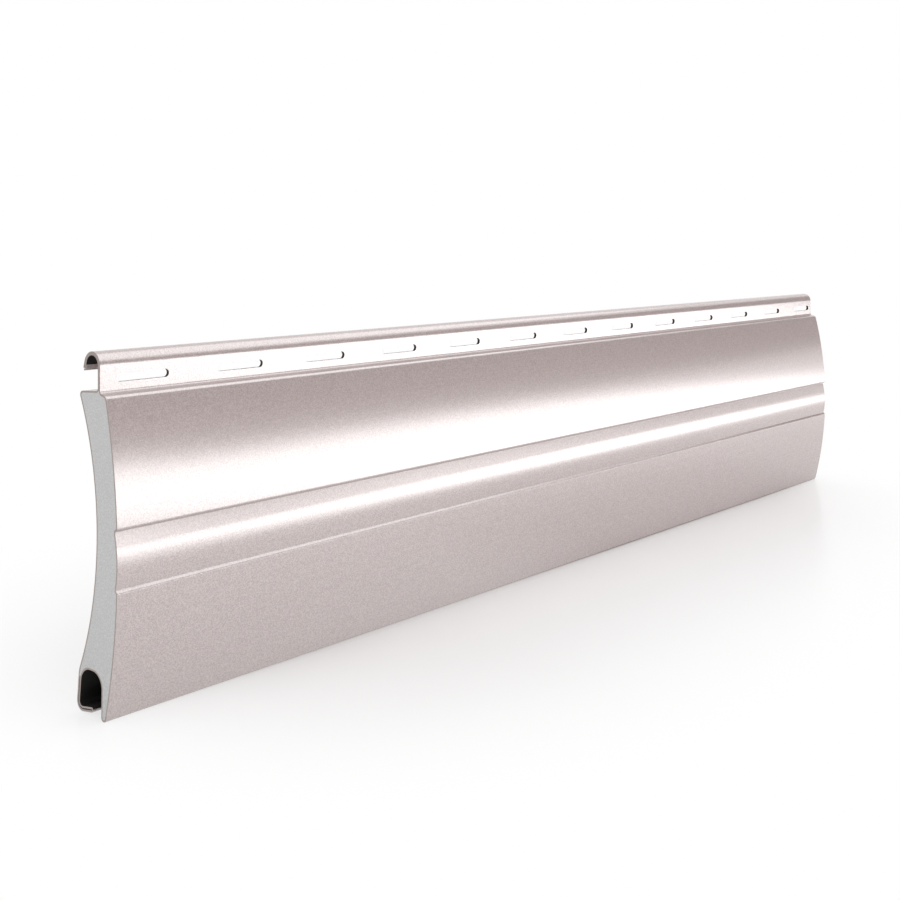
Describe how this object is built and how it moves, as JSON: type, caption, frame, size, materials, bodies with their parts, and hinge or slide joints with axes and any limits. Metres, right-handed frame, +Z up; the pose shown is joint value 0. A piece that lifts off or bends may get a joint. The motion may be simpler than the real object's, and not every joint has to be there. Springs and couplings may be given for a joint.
{
  "type": "roller shutter slat",
  "caption": "Foam-filled roller shutter slat: a sawn length of roll-formed aluminium profile with a hook rail, a slotted neck, a bowed face with a bead, and a pocket for the next slat's hook.",
  "frame": {"origin": "middle of the slat's length and of its thickness, on the plane that its toe stands on", "axes": "+X along the slat, +Y from the outer face to the hollow back, +Z up from the toe to the hook"},
  "size_m": [0.382, 0.0166, 0.0861],
  "materials": {
    "painted_strip": "satin champagne metallic coil coating on aluminium strip",
    "rigid_foam": "sawn face of fine-celled grey rigid foam"
  },
  "bodies": {
    "root": {"skin": "painted_strip", "foam_core": "rigid_foam"}
  },
  "joints": []
}
